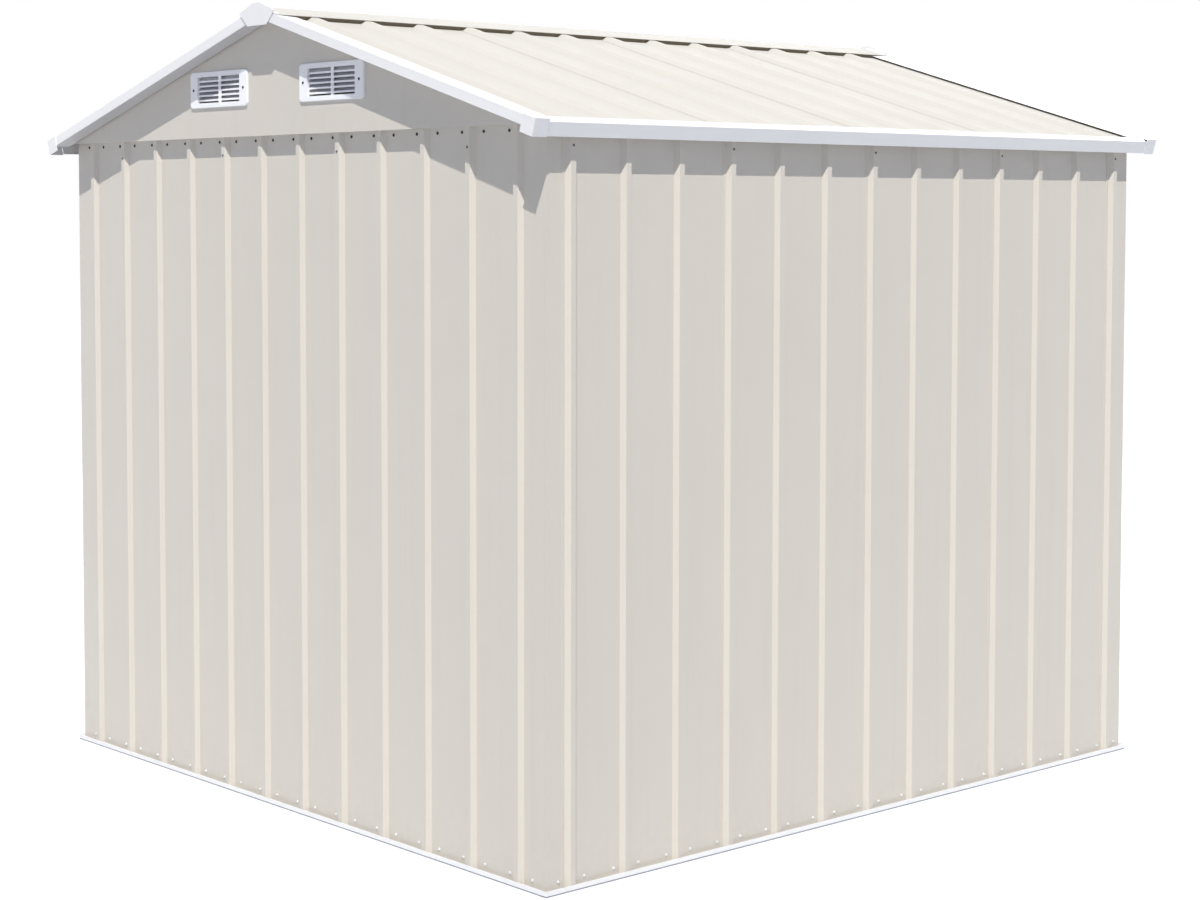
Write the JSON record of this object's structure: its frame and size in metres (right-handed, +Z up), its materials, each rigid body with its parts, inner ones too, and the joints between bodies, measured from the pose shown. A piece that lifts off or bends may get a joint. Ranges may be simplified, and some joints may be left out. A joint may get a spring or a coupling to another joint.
{
  "type": "metal storage shed",
  "caption": "Hollow garden shed of ribbed, painted steel sheets on a base rail, with a shallow gable roof, louvred gable vents, white trims and closed sliding doors.",
  "frame": {"origin": "on the ground at the middle of the part's box", "axes": "+Z up, front gable with the doors faces -Y, ridge along Y"},
  "size_m": [2.1552, 2.33, 2.068],
  "materials": {
    "wall_paint": "satin light grey-cream paint on ribbed steel sheet",
    "roof_paint": "satin pale cream paint on ribbed steel sheet",
    "trim_paint": "satin white paint on folded steel trim",
    "white_plastic": "moulded white plastic",
    "dark_plastic": "moulded dark grey plastic",
    "frame_steel": "dull zinc-coated steel"
  },
  "bodies": {
    "root": {"base_rail_front": "trim_paint", "base_rail_right": "trim_paint", "base_rail_rear": "trim_paint", "base_rail_left": "trim_paint", "corner_front_left": "wall_paint", "corner_front_right": "wall_paint", "corner_rear_right": "wall_paint", "corner_rear_left": "wall_paint", "rear_panel_1": "wall_paint", "rear_panel_2": "wall_paint", "rear_panel_3": "wall_paint", "left_panel_1": "wall_paint", "left_panel_2": "wall_paint", "left_panel_3": "wall_paint", "left_panel_4": "wall_paint", "right_panel_1": "wall_paint", "right_panel_2": "wall_paint", "right_panel_3": "wall_paint", "right_panel_4": "wall_paint", "front_panel_left": "wall_paint", "front_panel_right": "wall_paint", "door_left": "wall_paint", "door_right": "wall_paint", "door_pulls": "dark_plastic", "door_jambs": "trim_paint", "door_header": "trim_paint", "gable_panel_front": "wall_paint", "gable_panel_rear": "wall_paint", "gable_vents": "white_plastic", "roof_left_1": "roof_paint", "roof_left_2": "roof_paint", "roof_left_3": "roof_paint", "roof_left_4": "roof_paint", "roof_right_1": "roof_paint", "roof_right_2": "roof_paint", "roof_right_3": "roof_paint", "roof_right_4": "roof_paint", "ridge_cap": "roof_paint", "ridge_end_caps": "white_plastic", "verge_trims": "trim_paint", "eave_trims": "trim_paint", "eave_caps": "white_plastic", "gable_top_rails": "frame_steel", "side_top_rails": "frame_steel", "roof_beams": "frame_steel"}
  },
  "joints": []
}
